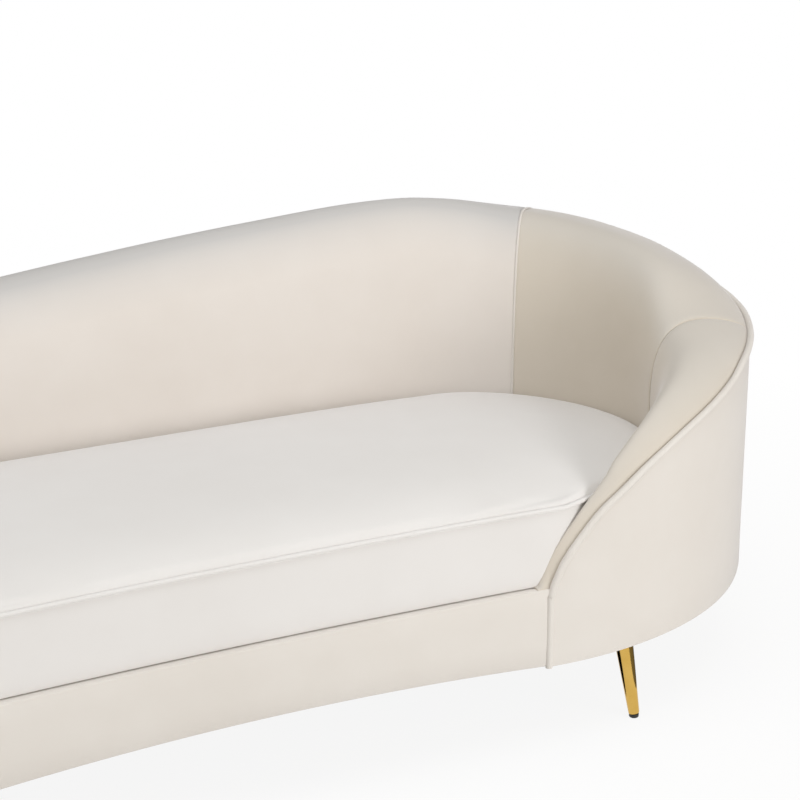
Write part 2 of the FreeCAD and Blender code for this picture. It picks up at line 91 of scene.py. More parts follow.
# Apron: distance behind its face and height, first from the arched lower edge and then from the top
FRONT_ARCH = 15.0
APRON_LOW = ((12.0, 0.0), (2.0, -1.0), (0.0, 2.0), (-1.0, 40.0))
APRON_TOP = ((-1.0, -40.0), (0.0, -4.0), (1.0, -1.2), (3.5, 0.0), (20.0, 0.0))
APRON_SECTIONS = 60

# Seat cushion: sides by share of their height and inset, then the crowned top by inset
SEAT_GAP = 6.0
SEAT_SET = 13.0
SEAT_LIFT = 0.4
SEAT_BOXING = ((0.0, 4.0), (0.012, 1.6), (0.04, 0.6), (0.12, 0.4), (0.3, 1.6), (0.5, 2.2), (0.7, 1.6),
               (0.88, 0.4), (0.955, 0.6), (0.985, 2.0))
SEAT_TOP = (3.5, 6.0, 10.0, 15.0, 22.0, 31.0, 43.0, 58.0, 76.0, 98.0, 124.0, 154.0, 188.0, 224.0, 256.0)
SEAT_CROWN, CROWN_RUN, CROWN_POWER = 28.0, 190.0, 4.5
SEAT_WELT_D, SEAT_WELT_OUT, SEAT_WELT_SIDES = 8.0, 1.0, 12
TAPER_POINTS, ROUND_POINTS, STRAIGHT_POINTS = 6, 40, 22

# Filling of the seat cushion, with the most that its top and its sides swell
FILL_PRESSURE = 4.0
FILL_FRAMES = 20
TOP_SWELL, SIDE_SWELL = 24.0, 3.0
SEWN_LOW, SEWN_BAND = 14.0, 4.5       # sewn up to this height over the deck, and this near to the top seam
SETTLE_RISE, SETTLE_PASSES = 14.0, 50

# Legs, by the facing of the outside above each and the way that it splays
LEG_MARKS = ((-77.7, -35.0), (75.0, 35.0))
LEG_INSET = 25.0
LEG_TOP_R, LEG_FOOT_R = 16.0, 9.5
LEG_SPLAY = 9.2
LEG_TOP_Z = 152.0
LEG_SIDES = 48
GLIDE_H, GLIDE_R, GLIDE_SINK = 7.0, 8.5, 0.5

# Rounded ends of a leg and of a glide: distance before the end, and change of the radius
LEG_EDGE = ((2.0, 0.1), (0.4, -0.3), (0.0, -1.0))
GLIDE_EDGE = ((2.5, 0.0), (0.9, -0.7), (0.0, -2.0), (-GLIDE_SINK, -4.0))

# Welt along the top of the outside, by the direction that the outside faces
WELT_LINE = ((-95.1, 276.0), (-94.8, 288.0), (-94.1, 312.0), (-92.5, 341.0), (-90.0, 374.0), (-86.3, 413.0),
             (-83.5, 432.0), (-77.0, 473.0), (-69.0, 509.0), (-62.0, 531.0), (-52.0, 557.0), (-46.0, 574.0),
             (-28.0, 590.0), (-10.0, 602.0), (5.0, 616.0), (16.0, 633.0), (30.0, 656.0), (45.0, 682.0),
             (65.0, 706.0), (90.0, 720.0))
WELT_FACING = -95.1       # the upright run beside the apron

# Crest of the cushioning: along the back by x, then round the well's end by its angle
BACK_CREST = ((0.0, 772.0), (291.0, 774.0), (555.0, 780.0))
END_CREST = ((70.0, 771.0), (51.0, 751.0), (34.0, 736.0), (17.0, 719.0), (0.0, 688.0), (-18.0, 622.0),
             (-36.0, 588.0), (-53.0, 552.0), (-70.0, 505.0))
SEAM_TURN, ARM_TURN = 51.0, -18.0

# By the angle round the well's end: way that a section looks, how far out its crest lies, and how full it is
SECTION_WAY = ((-70.0, -70.0), (-53.0, -44.0), (-36.0, -15.0), (-18.0, 9.0), (0.0, 17.0), (17.0, 26.0),
               (34.0, 38.0), (51.0, 51.0), (90.0, 90.0))
CREST_OUT = ((-70.0, 18.0), (-53.0, 32.0), (-36.0, 72.0), (-18.0, 124.0), (0.0, 116.0), (34.0, 112.0),
             (90.0, 112.0))
FULLNESS = ((-70.0, 0.7), (-53.0, 0.95), (-36.0, 1.0), (-18.0, 1.0), (0.0, 0.5), (17.0, 0.15), (34.0, 0.0))

# Section of a pad. Its face bows out, up and back to the crest by shares of its own depth and height, each
# with what a full pad adds; its slope leaves the crest and meets the welt by shares of its own run and fall
FACE_BOW = ((0.10, -0.24), (0.64, 0.14), (0.74, 0.14))
CREST_TILT = 0.4
SLOPE_START, SLOPE_END, SLOPE_RISE = 0.45, 0.10, 0.36
FACE_POINTS, SLOPE_POINTS = 18, 16
FACE_RISE = 60.0          # least height of the face
FOOT_CLEAR, LIP_CLEAR = 1.0, 0.5
LIP_H = 36.0
CREST_SHARE, HOLLOW_SHARE = 0.62, 0.4
CREST_RISE, TIP_CREST_RISE = 8.0, 2.0     # least height of the crest over the rim
PAD_STEP, BACK_STEP = 2.5, 3.0
HALF_BACK_SECTIONS = 18

# Seams of the pads: degrees from the seam, and how far the pad draws in there
PLAIN_SEAM = ((0.0, 3.0), (0.25, 1.4), (0.7, 0.5), (1.4, 0.0))
FULL_SEAM = ((0.0, 4.5), (0.4, 2.7), (1.2, 1.3), (2.6, 0.4), (4.5, 0.0))
SEAM_REST = 1.0           # degrees from there to the next section
SEAM_CORD_IN = 1.0

# Front of the arm, by distance past the end of the apron: way of the section, depth, and how far in and
# how high its crest is
ARM_TIP = ((125.0, -75.0, 42.0, 25.0, 475.0), (105.0, -80.0, 37.0, 22.0, 457.0),
           (80.0, -86.0, 33.0, 19.0, 438.0), (61.0, -90.0, 30.0, 17.0, 424.0),
           (43.0, -90.0, 28.0, 15.0, 407.0), (23.0, -90.0, 26.0, 13.0, 386.0),
           (9.0, -90.0, 25.0, 12.0, 370.0), (-5.0, -90.0, 25.0, 12.0, 351.0),
           (-17.0, -90.0, 24.0, 12.0, 331.0), (-29.0, -90.0, 24.0, 12.0, 307.0),
           (-37.0, -90.0, 23.0, 11.0, 292.0), (-42.0, -90.0, 22.0, 10.0, 289.0))
TIP_BACK = 4.0            # from the strip's wall to the outside
TIP_DROP = 4.0            # from the deck down to the strip's lower edge
TIP_RIM = 1.0             # rim of the strip over the deck, along the apron
TIP_HOLLOW = 0.5

# Sweep of the top down to the left; the crest falls sooner than the welt and eases towards the left end
SWEEP_X = 527.0
WELT_FALL = 0.36
CREST_FALL, CREST_EASE = 0.633, 0.758

# Lean of the outside: share of it by facing, how far out it goes, and between which heights
LEAN_SHARE = ((-93.0, 0.0), (-75.0, 0.25), (-50.0, 0.85), (-28.0, 1.0), (20.0, 1.0), (60.0, 0.4),
              (90.0, 0.2))
LEAN_OUT = 15.0
LEAN_FOOT = 0.85
LEAN_LOW, LEAN_HIGH = 200.0, 590.0

# Meshes: distance in metres, and angles in degrees
MERGE_WITHIN = 1e-6
SHARP_EDGE = 40.0
ANGLE_SLACK = 1e-6


def cosd(angle):
    return math.cos(math.radians(angle))


def sind(angle):
    return math.sin(math.radians(angle))


front_radius = (FRONT_HALF ** 2 + FRONT_HOLLOW ** 2) / (2 * FRONT_HOLLOW)
front_turn = math.degrees(math.asin(FRONT_HALF / front_radius))
front_centre = (0.0, FRONT_HOLLOW - front_radius)
front_angle = -90.0 - front_turn
end_centre = (FRONT_HALF + END_RADIUS * sind(front_turn), END_RADIUS * cosd(front_turn))
corner_start = CORNER_TURN - 90.0
corner_centre = (end_centre[0] + (END_RADIUS - CORNER_RADIUS) * cosd(corner_start),
                 end_centre[1] + (END_RADIUS - CORNER_RADIUS) * sind(corner_start))
back_y = corner_centre[1] + CORNER_RADIUS + BACK_BOW
back_drop = back_y - corner_centre[1]
back_radius = (corner_centre[0] ** 2 + back_drop ** 2 - CORNER_RADIUS ** 2) / (2 * BACK_BOW)
back_centre = (0.0, back_y - back_radius)
corner_end = math.degrees(math.atan2(corner_centre[1] - back_centre[1], corner_centre[0]))
middle_y = (end_centre[1] - END_RADIUS + back_y) / 2
well_y = WELL_BACK - WELL_RADIUS
outside_half = corner_centre[0] + CORNER_RADIUS
OUTSIDE = ((end_centre, END_RADIUS, front_angle, corner_start),
           (corner_centre, CORNER_RADIUS, corner_start, corner_end),
           (back_centre, back_radius, corner_end, 90.0 + ANGLE_SLACK))


def at(x, y, z):
    """Point of the plan in the frame, in metres."""
    return Vector((x, y - middle_y, z)) / 1000


def steps(first, last, count):
    return [first + (last - first) * i / count for i in range(count + 1)]


def smooth(marks, place):
    """Value at a place, on a curve without kinks through marks of place and value."""
    if place <= marks[0][0]:
        return marks[0][1]
    if place >= marks[-1][0]:
        return marks[-1][1]
    last = len(marks) - 1
    i = next(k for k in range(last) if place <= marks[k + 1][0])

    def slope(k):
        before, after = marks[max(k - 1, 0)], marks[min(k + 1, last)]
        return (after[1] - before[1]) / (after[0] - before[0])

    (x0, z0), (x1, z1) = marks[i], marks[i + 1]
    step = x1 - x0
    t = (place - x0) / step
    rise = t * t * (3 - 2 * t)
    return (z0 * (1 - rise) + z1 * rise + t * (1 - t) ** 2 * step * slope(i)
            + t * t * (t - 1) * step * slope(i + 1))


def sweep_way(x):
    """How much of the sweep down to the left a place has: none on the right, all at the left end."""
    return (max(SWEEP_X - x, 0.0) / (SWEEP_X + outside_half)) ** 2


def welt_swept(z, x):
    return DECK_Z + (z - DECK_Z) * (1 - WELT_FALL * sweep_way(x))


def crest_swept(z, x):
    way = sweep_way(x)
    return DECK_Z + (z - DECK_Z) * (1 - CREST_FALL * way / (1 + CREST_EASE * way))


def right_hand(facing):
    return 180 - facing if facing > 90 else facing


def on_side(facing, turn):
    return facing if turn > 0 else 180 - facing


def outside(inset, facing):
    """Plan point of the outside by the direction that it faces, right front welt to left one."""
    if facing > 90:
        x, y = outside(inset, 180 - facing)
        return -x, y
    (cx, cy), radius, _, _ = next(arc for arc in OUTSIDE if facing <= arc[3])
    return cx + (radius - inset) * cosd(facing), cy + (radius - inset) * sind(facing)


def front_line(x, radius=front_radius):
    """How far back the hollow front, or a line inside it, lies."""
    return front_centre[1] + math.sqrt(radius ** 2 - x ** 2)


def welt_height(facing):
    return welt_swept(smooth(WELT_LINE, right_hand(facing)), outside(0, facing)[0])


def rim_height(facing):
    """Height at which the cushioning meets the welt."""
    return welt_height(facing) - WELT_D / 3


def lean(facing, z):
    """How far the outside leans out at a height."""
    rise = max(z - LEAN_LOW, 0.0) / (LEAN_HIGH - LEAN_LOW)
    return LEAN_OUT * smooth(LEAN_SHARE, right_hand(facing)) * (LEAN_FOOT + (1 - LEAN_FOOT) * rise)


def outer_skin(inset, facing, z):
    return at(*outside(inset - lean(facing, z), facing), z)


def back_facings(first, last):
    """Directions along the outside, closer together where it runs straight."""
    straight = steps(corner_end, 180 - corner_end, BACK_SECTIONS)
    ends = [a for a in steps(FIRST_FACING, 180 - FIRST_FACING, ROUND_SECTIONS)
            if not corner_end <= a <= 180 - corner_end]
    return sorted([first, last] + [a for a in straight + ends if first < a < last])


# Making of the pieces

def loft(bm, sections, ring=False, caps=(0, -1)):
    """Skin over closed sections that all have the same number of points."""
    loops = []
    for points in sections:
        verts = [bm.verts.new(p) for p in points]
        loops.append([bm.edges.new(pair) for pair in zip(verts, verts[1:] + verts[:1])])
    ahead = loops[1:] + loops[:1] if ring else loops[1:]
    for here, there in zip(loops, ahead):
        bmesh.ops.bridge_loops(bm, edges=here + there)
    if not ring:
        for end in caps:
            bmesh.ops.contextual_create(bm, geom=loops[end])


def only_verts(geom):
    return [item for item in geom if isinstance(item, bmesh.types.BMVert)]


def mirror_to(bm, turn):
    """Takes what was built on the right over to the left, where the turn is -1."""
    bmesh.ops.scale(bm, vec=(turn, 1, 1), verts=bm.verts)


def make_piece(name, build, finish, slot, body, *stands_for):
    """Builds and closes a piece, gives it its finish and lets it move with its body."""
    bm = bmesh.new()
    build(bm)
    bmesh.ops.remove_doubles(bm, verts=bm.verts, dist=MERGE_WITHIN)
    bmesh.ops.recalc_face_normals(bm, faces=bm.faces)
    mesh = bpy.data.meshes.new(name)
    bm.to_mesh(mesh)
    bm.free()
    mesh.shade_smooth()
    mesh.set_sharp_from_angle(angle=math.radians(SHARP_EDGE))
    mesh.materials.append(finish)
    piece = bpy.data.objects.new(name, mesh)
    scene.collection.objects.link(piece)
    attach(piece, body)
    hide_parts(*stands_for)
    return piece


def both_sides(name, build, finish, slot, node=None):
    """A piece on the right and its fellow on the left, each with the heights of its side."""
    made = []
    for side, turn in SIDES:
        nodes = (node + "_" + side,) if node else ()
        made.append(make_piece(name + "_" + side, lambda bm: build(bm, turn), finish, slot, "sofa", *nodes))
    return made


def cord_rings(points, outward, diameter, sides, closed=False):
    """Rings of a round cord through points, each with its outward direction."""
    rings, last = [], len(points) - 1
    for i, (point, out) in enumerate(zip(points, outward)):
        before = points[i - 1] if closed else points[max(i - 1, 0)]
        after = points[(i + 1) % len(points)] if closed else points[min(i + 1, last)]
        ahead = (after - before).normalized()
        up = ahead.cross(out).normalized()
        across = up.cross(ahead).normalized()
        rings.append([point + (across * cosd(t) + up * sind(t)) * diameter / 2000
                      for t in steps(0, 360, sides)[:-1]])
    return rings


# Finishes

MIX_FIRST, MIX_SECOND, MIX_RESULT = 6, 7, 2     # colour sockets of a Mix node


def new_material(name):
    material = bpy.data.materials.new(name)
    material.use_nodes = True
    return material, material.node_tree.nodes, material.node_tree.links


def dial(node, values):
    """Sets a node's inputs by name or number."""
    for socket, value in values.items():
        node.inputs[socket].default_value = value


def noise(nodes, links, vector, scale, detail):
    texture = nodes.new("ShaderNodeTexNoise")
    dial(texture, {"Scale": scale, "Detail": detail})
    links.new(vector, texture.inputs["Vector"])
    return texture.outputs["Fac"]


def stretched(nodes, links, value, ends):
    """Map Range node on a value, with the ends that are not 0 or 1."""
    span = nodes.new("ShaderNodeMapRange")
    dial(span, ends)
    links.new(value, span.inputs["Value"])
    return span


def colour_mix(nodes, links, factor):
    """Mix node for two colours."""
    mix = nodes.new("ShaderNodeMix")
    mix.data_type = "RGBA"
    links.new(factor, mix.inputs["Factor"])
    return mix


def colour_ramp(nodes, links, factor, first, last):
    ramp = nodes.new("ShaderNodeValToRGB")
    ramp.color_ramp.elements[0].color = first + (1,)
    ramp.color_ramp.elements[1].color = last + (1,)
    links.new(factor, ramp.inputs["Fac"])
    return ramp.outputs["Color"]


def relief(nodes, links, height, values):
    """Fine relief of the surface."""
    bump = nodes.new("ShaderNodeBump")
    dial(bump, values)
    links.new(height, bump.inputs["Height"])
    links.new(bump.outputs["Normal"], nodes["Principled BSDF"].inputs["Normal"])


def velvet_nap_and_top_shade_group():
    """Brushed patches, cloudy shading and pile of a short velvet, and painted shade where the cloth faces
    up.
    """
    group = bpy.data.node_groups.new("velvet nap and painted top shade", "ShaderNodeTree")
    for label, way, kind in (("Brushed", "INPUT", "Color"), ("Against", "INPUT", "Color"),
                             ("Top Shade", "INPUT", "Color"), ("Top Shade Share", "INPUT", "Float"),
                             ("Color", "OUTPUT", "Color"), ("Roughness", "OUTPUT", "Float"),
                             ("Pile", "OUTPUT", "Float")):
        group.interface.new_socket(label, in_out=way, socket_type="NodeSocket" + kind)
    nodes, links = group.nodes, group.links
    given, out = nodes.new("NodeGroupInput"), nodes.new("NodeGroupOutput")
    place = nodes.new("ShaderNodeTexCoord")
    patches, clouds, pile = (noise(nodes, links, place.outputs["Object"], scale, detail)
                             for scale, detail in ((2.6, 2.0), (14.0, 4.0), (1400.0, 1.0)))
    blend = nodes.new("ShaderNodeMix")
    dial(blend, {"Factor": 0.3})
    links.new(patches, blend.inputs["A"])
    links.new(clouds, blend.inputs["B"])
    stroke = stretched(nodes, links, blend.outputs["Result"], {"From Min": 0.32, "From Max": 0.68})
    shade = colour_mix(nodes, links, stroke.outputs["Result"])
    links.new(given.outputs["Against"], shade.inputs[MIX_FIRST])
    links.new(given.outputs["Brushed"], shade.inputs[MIX_SECOND])
    # Painted shade: the colour goes towards a darker top colour where the cloth turns to face up
    facing = nodes.new("ShaderNodeSeparateXYZ")
    links.new(place.outputs["Normal"], facing.inputs["Vector"])
    top_shade_mask = stretched(nodes, links, facing.outputs["Z"], {"From Min": 0.25, "From Max": 0.8})
    links.new(given.outputs["Top Shade Share"], top_shade_mask.inputs["To Max"])
    top_shaded = colour_mix(nodes, links, top_shade_mask.outputs["Result"])
    links.new(shade.outputs[MIX_RESULT], top_shaded.inputs[MIX_FIRST])
    links.new(given.outputs["Top Shade"], top_shaded.inputs[MIX_SECOND])
    rough = stretched(nodes, links, stroke.outputs["Result"], {"To Min": 0.92, "To Max": 0.74})
    links.new(top_shaded.outputs[MIX_RESULT], out.inputs["Color"])
    links.new(rough.outputs["Result"], out.inputs["Roughness"])
    links.new(pile, out.inputs["Pile"])
    return group


# Darker colour painted as shade on the faces that turn up
PAINTED_TOP_SHADE = (0.55, 0.535, 0.525)
nap_and_shade_group = velvet_nap_and_top_shade_group()


# The last argument is how far painted shade darkens the faces that turn up
def velvet(name, brushed, against, top_shade_share=0.0):
    material, nodes, links = new_material(name)
    shader = nodes["Principled BSDF"]
    dial(shader, {"Sheen Weight": 0.55, "Sheen Roughness": 0.38, "Sheen Tint": (0.95, 0.95, 1.0, 1),
                  "Specular IOR Level": 0.25})
    nap_and_shade = nodes.new("ShaderNodeGroup")
    nap_and_shade.node_tree = nap_and_shade_group
    dial(nap_and_shade, {"Brushed": brushed + (1,), "Against": against + (1,), "Top Shade": PAINTED_TOP_SHADE + (1,),
               "Top Shade Share": top_shade_share})
    links.new(nap_and_shade.outputs["Color"], shader.inputs["Base Color"])
    links.new(nap_and_shade.outputs["Roughness"], shader.inputs["Roughness"])
    relief(nodes, links, nap_and_shade.outputs["Pile"], {"Strength": 0.12, "Distance": 0.0006})
    return material


def lining_cloth():
    """Black spun lining with a fine dotted bond."""
    material, nodes, links = new_material("black lining")
    shader = nodes["Principled BSDF"]
    place, dots = nodes.new("ShaderNodeTexCoord"), nodes.new("ShaderNodeTexVoronoi")
    dial(dots, {"Scale": 420.0})
    links.new(place.outputs["Object"], dots.inputs["Vector"])
    tone = colour_ramp(nodes, links, dots.outputs["Distance"], (0.030, 0.030, 0.032), (0.010, 0.010, 0.011))
    links.new(tone, shader.inputs["Base Color"])
    relief(nodes, links, dots.outputs["Distance"], {"Distance": 0.0004})
    dial(shader, {"Roughness": 0.9})
    return material


def sawn_timber():
    material, nodes, links = new_material("sawn timber")
    shader = nodes["Principled BSDF"]
    place, along = nodes.new("ShaderNodeTexCoord"), nodes.new("ShaderNodeMapping")
    dial(along, {"Scale": (6.0, 60.0, 60.0)})
    links.new(place.outputs["Object"], along.inputs["Vector"])
    grain = noise(nodes, links, along.outputs["Vector"], 3.0, 8.0)
    tone = colour_ramp(nodes, links, grain, (0.36, 0.23, 0.12), (0.62, 0.45, 0.27))
    links.new(tone, shader.inputs["Base Color"])
    relief(nodes, links, grain, {"Distance": 0.0008})
    dial(shader, {"Roughness": 0.75})
    return material


def polished(name, dark, light, smoothest, roughest, metallic=1.0):
    """Smooth finish with faint wipe marks."""
    material, nodes, links = new_material(name)
    shader = nodes["Principled BSDF"]
    place = nodes.new("ShaderNodeTexCoord")
    marks = noise(nodes, links, place.outputs["Object"], 38.0, 5.0)
    tint = colour_mix(nodes, links, marks)
    dial(tint, {MIX_FIRST: dark + (1,), MIX_SECOND: light + (1,)})
    rough = stretched(nodes, links, marks, {"To Min": smoothest, "To Max": roughest})
    links.new(tint.outputs[MIX_RESULT], shader.inputs["Base Color"])
    links.new(rough.outputs["Result"], shader.inputs["Roughness"])
    dial(shader, {"Metallic": metallic})
    return material


ivory_velvet = velvet("ivory velvet", (0.76, 0.72, 0.675), (0.72, 0.675, 0.625))
# Back copy: strong painted shade on the crest and the other faces that turn up
back_velvet_painted_top_shade = velvet("ivory velvet, painted top shade", (0.785, 0.735, 0.69), (0.745, 0.69, 0.64), 0.9)
# Seat copy: lighter and cooler than the ivory velvet, as painted light from above
seat_velvet_painted_light = velvet("ivory velvet, painted light", (0.80, 0.778, 0.762), (0.77, 0.745, 0.725))
# Wraps' and arms' copy: darker and warmer than the ivory velvet, as painted shade and warm bounce light,
# with some painted shade where they face up
wrap_arm_velvet_painted_shade = velvet("ivory velvet, painted shade", (0.68, 0.62, 0.54), (0.64, 0.578, 0.492), 0.35)
lining = lining_cloth()
timber = sawn_timber()
zinc = polished("zinc steel", (0.48, 0.49, 0.50), (0.62, 0.63, 0.64), 0.30, 0.45)
gold = polished("polished gold", (0.62, 0.38, 0.08), (0.72, 0.47, 0.13), 0.05, 0.12)
glide_black = polished("black plastic", (0.012, 0.012, 0.012), (0.022, 0.022, 0.022), 0.45, 0.6, 0.0)
NODE_FINISH = {"timber": timber, "steel": zinc}
for part in frame["record"]["subparts"]:
    if part["material_slot"] in NODE_FINISH:
        finishes = frame["nodes"][part["node"]].data.materials
        finishes.clear()
        finishes.append(NODE_FINISH[part["material_slot"]])


# Cushioning of the back, wraps and arms

def ray_out(x, y, angle):
    """Distance from a point of the well to the outside along a direction, and the facing there."""
    dx, dy = cosd(angle), sind(angle)
    for (cx, cy), radius, first, last in OUTSIDE:
        along = (cx - x) * dx + (cy - y) * dy
        off = (cx - x) ** 2 + (cy - y) ** 2 - along ** 2
        if off >= radius ** 2:
            continue
        reach = along + math.sqrt(radius ** 2 - off)
        facing = math.degrees(math.atan2(y + reach * dy - cy, x + reach * dx - cx))
        if first - ANGLE_SLACK <= facing <= last + ANGLE_SLACK:
            return reach, facing
    raise ValueError("no outside ahead of the well")


def pad_marks(wall, crest_u, crest_z, rim, low, hollow, drawn=0.0, full=0.0):
    """Section from the well outwards: face, rolled crest, slope to the welt, and the hidden back."""
    run = wall - crest_u
    fall = (rim - crest_z) / max(run, 1.0)
    ease = Vector((1, CREST_TILT * fall)).normalized()
    foot = max(min(SEAT_Z, crest_z - FACE_RISE), low + FOOT_CLEAR)
    top = Vector((crest_u, crest_z - drawn))
    bow_out, bow_up, bow_back = (share + added * full for share, added in FACE_BOW)
    belly = Vector((drawn + bow_out * crest_u, foot + bow_up * (crest_z - foot)))
    brow = top - ease * bow_back * crest_u
    face = interpolate_bezier(Vector((drawn, foot)), belly, brow, top, FACE_POINTS)
    leave = top + ease * SLOPE_START * run
    meet = Vector((wall - SLOPE_END * run, rim + SLOPE_RISE * (crest_z - rim) - drawn))
    slope = interpolate_bezier(top, leave, meet, Vector((wall, rim)), SLOPE_POINTS)
    lip = max(rim - LIP_H, low + LIP_CLEAR)
    back = [(wall, lip), (hollow, lip), (hollow, low), (drawn, low)]
    return [(p.x, p.y) for p in face + slope[1:]] + back


def upright(x, y, angle, crest_z, crest_out, turn, drawn=0.0, full=0.0):
    """Upright section of the cushioning, looking along a direction out of the well."""
    depth, right_facing = ray_out(x, y, angle)
    facing = on_side(right_facing, turn)
    rim = rim_height(facing)
    square = cosd(angle - right_facing)
    wall = depth - (FRAME_STACK / 2 - lean(facing, rim)) / square
    hollow = wall - min((POST_DEPTH + POST_ROOM) / square, HOLLOW_SHARE * wall)
    crest_u = min(crest_out, CREST_SHARE * wall)
    crest_z = max(crest_swept(crest_z, turn * (x + crest_u * cosd(angle))), rim + CREST_RISE)
    return [at(x + u * cosd(angle), y + u * sind(angle), z)
            for u, z in pad_marks(wall, crest_u, crest_z, rim, DECK_Z, hollow, drawn, full)]


def end_way(angle):
    """Length along the well's edge from the middle of the back to an angle round its end."""
    return WELL_END_X + math.radians(90 - angle) * WELL_RADIUS


CREST_LINE = BACK_CREST + tuple((end_way(angle), z) for angle, z in END_CREST)


def round_end(angle, turn, drawn=0.0):
    """Section at an angle round the well's end."""
    x, y = WELL_END_X + WELL_RADIUS * cosd(angle), well_y + WELL_RADIUS * sind(angle)
    return upright(x, y, smooth(SECTION_WAY, angle), smooth(CREST_LINE, end_way(angle)),
                   smooth(CREST_OUT, angle), turn, drawn, smooth(FULLNESS, angle))


def seamed(first, last, step, first_seam, last_seam):
    """Angles of a pad's sections with how far each draws in at its seams."""
    sign = 1 if last > first else -1
    inner_first = first + sign * (first_seam[-1][0] + SEAM_REST)
    inner_last = last - sign * (last_seam[-1][0] + SEAM_REST)
    count = math.ceil(abs(inner_last - inner_first) / step)
    return ([(first + sign * a, d) for a, d in first_seam]
            + [(a, 0.0) for a in steps(inner_first, inner_last, count)]
            + [(last - sign * a, d) for a, d in reversed(last_seam)])


def half_back(turn):
    """Sections from the middle of the back to its upright seam."""
    straight = [upright(x, WELL_BACK, 90.0, smooth(CREST_LINE, x), CREST_OUT[-1][1], turn)
                for x in steps(0, WELL_END_X, HALF_BACK_SECTIONS)]
    bend = seamed(90.0, SEAM_TURN, BACK_STEP, PLAIN_SEAM[-1:], PLAIN_SEAM)[1:]
    return straight + [round_end(a, turn, d) for a, d in bend]


def back_cushioning(bm):
    left = [[Vector((-p.x, p.y, p.z)) for p in section] for section in half_back(-1)]
    loft(bm, left[:0:-1] + half_back(1))


def wrap_cushioning(bm, turn):
    marks = seamed(SEAM_TURN, ARM_TURN, PAD_STEP, PLAIN_SEAM, PLAIN_SEAM)
    loft(bm, [round_end(a, turn, d) for a, d in marks])
    mirror_to(bm, turn)


def tip_section(past, angle, depth, crest_in, crest_z, turn):
    """Section of the thin strip that runs down in front of the cushion's corner to the apron."""
    x = FRONT_HALF + past
    facing = -math.degrees(math.acos((x - end_centre[0]) / END_RADIUS))
    front, rim = front_line(min(x, FRONT_HALF)), DECK_Z + TIP_RIM
    if facing > WELT_FACING:
        front = outside(0, facing)[1]
        rim = rim_height(on_side(facing, turn))
    wall = depth - TIP_BACK
    crest_z = max(crest_swept(crest_z, turn * x), rim + TIP_CREST_RISE)
    marks = pad_marks(wall, depth - crest_in, crest_z, rim, DECK_Z - TIP_DROP, TIP_HOLLOW * wall)
    return [at(x + (u - depth) * cosd(angle), front + (u - depth) * sind(angle), z) for u, z in marks]


def arm_cushioning(bm, turn):
    """Cushioning from the arm's seam, which goes on into the strip at the front without a second seam."""
    marks = seamed(ARM_TURN, -WELL_TAPER, PAD_STEP, FULL_SEAM, PLAIN_SEAM)[:-len(PLAIN_SEAM)]
    loft(bm, [round_end(a, turn, d) for a, d in marks] + [tip_section(*tip, turn) for tip in ARM_TIP])
    mirror_to(bm, turn)


back_cushion = make_piece("back_cushioning", back_cushioning, back_velvet_painted_top_shade, "velvet", "sofa", "back_pad")
wraps = both_sides("wrap_cushioning", wrap_cushioning, wrap_arm_velvet_painted_shade, "velvet", "wrap_pad")
arms = both_sides("arm_cushioning", arm_cushioning, wrap_arm_velvet_painted_shade, "velvet", "arm_pad")


def back_seam(bm, turn):
    """Fine raised seam between the back and the wrap, from the seat over the crest to behind the welt."""
    visible = round_end(SEAM_TURN, turn, SEAM_CORD_IN)[:FACE_POINTS + SLOPE_POINTS]
    ahead = Vector((-sind(SEAM_TURN), cosd(SEAM_TURN), 0))
    loft(bm, cord_rings(visible, [ahead] * len(visible), SEAM_D, SEAM_SIDES))
    mirror_to(bm, turn)


both_sides("back_seam", back_seam, ivory_velvet, "velvet")


# Outside covers, apron and welts

def cover(bm, first, last):
    """Cover stretched over the panel, turned in at the lower edge."""
    sections = []
    for facing in back_facings(first, last):
        top = welt_height(facing) - WELT_D / 2
        sides = [(inset, BASE_Z + up) for inset, up in COVER_EDGE]
        sides += [(0.0, BASE_Z + (top - BASE_Z) * share) for share in COVER_ROWS]
        sides += [(0.0, top), (COVER_T, top)]
        sections.append([outer_skin(inset, facing, z) for inset, z in sides])
    loft(bm, sections)


def end_cover(bm, turn):
    cover(bm, *sorted(on_side(a, turn) for a in (WELT_FACING, COVER_SPLIT)))


def back_cover(bm):
    cover(bm, COVER_SPLIT, 180 - COVER_SPLIT)


outside_ends = both_sides("outside_end", end_cover, ivory_velvet, "velvet", "outside_end_cover")
outside_back = make_piece("outside_back", back_cover, ivory_velvet, "velvet", "sofa", "outside_back_cover")


def apron(bm):
    """Padded apron with an arched lower edge."""
    arch = (FRONT_HALF ** 2 + FRONT_ARCH ** 2) / (2 * FRONT_ARCH)
    reach = outside(0, WELT_FACING)[0]
    sections = []
    for x in steps(-reach, reach, APRON_SECTIONS):
        low = BASE_Z + FRONT_ARCH - arch + math.sqrt(arch ** 2 - x ** 2)
        sides = [(back, low + up) for back, up in APRON_LOW]
        sides += [(back, DECK_Z + up) for back, up in APRON_TOP]
        sections.append([at(x, front_line(x) + back, z) for back, z in sides])
    loft(bm, sections)


apron_cover = make_piece("front_apron_cover", apron, ivory_velvet, "velvet", "sofa", "front_apron")


def edge_welt(bm, first, last, uprights=()):
    """Piping along the top of the outside, after an upright run at its first end."""
    facings = back_facings(min(first, last), max(first, last))
    if last < first:
        facings.reverse()
    marks = [(first, z) for z in uprights] + [(a, welt_height(a) - WELT_D / 2) for a in facings]
    points = [outer_skin(0, a, z) for a, z in marks]
    loft(bm, cord_rings(points, [Vector((cosd(a), sind(a), 0)) for a, _ in marks], WELT_D, WELT_SIDES))


def end_welt(bm, turn):
    uprights = steps(BASE_Z - UPRIGHT_LOW, DECK_Z - WELT_D, UPRIGHT_SECTIONS)
    edge_welt(bm, on_side(WELT_FACING, turn), on_side(COVER_SPLIT, turn), uprights)


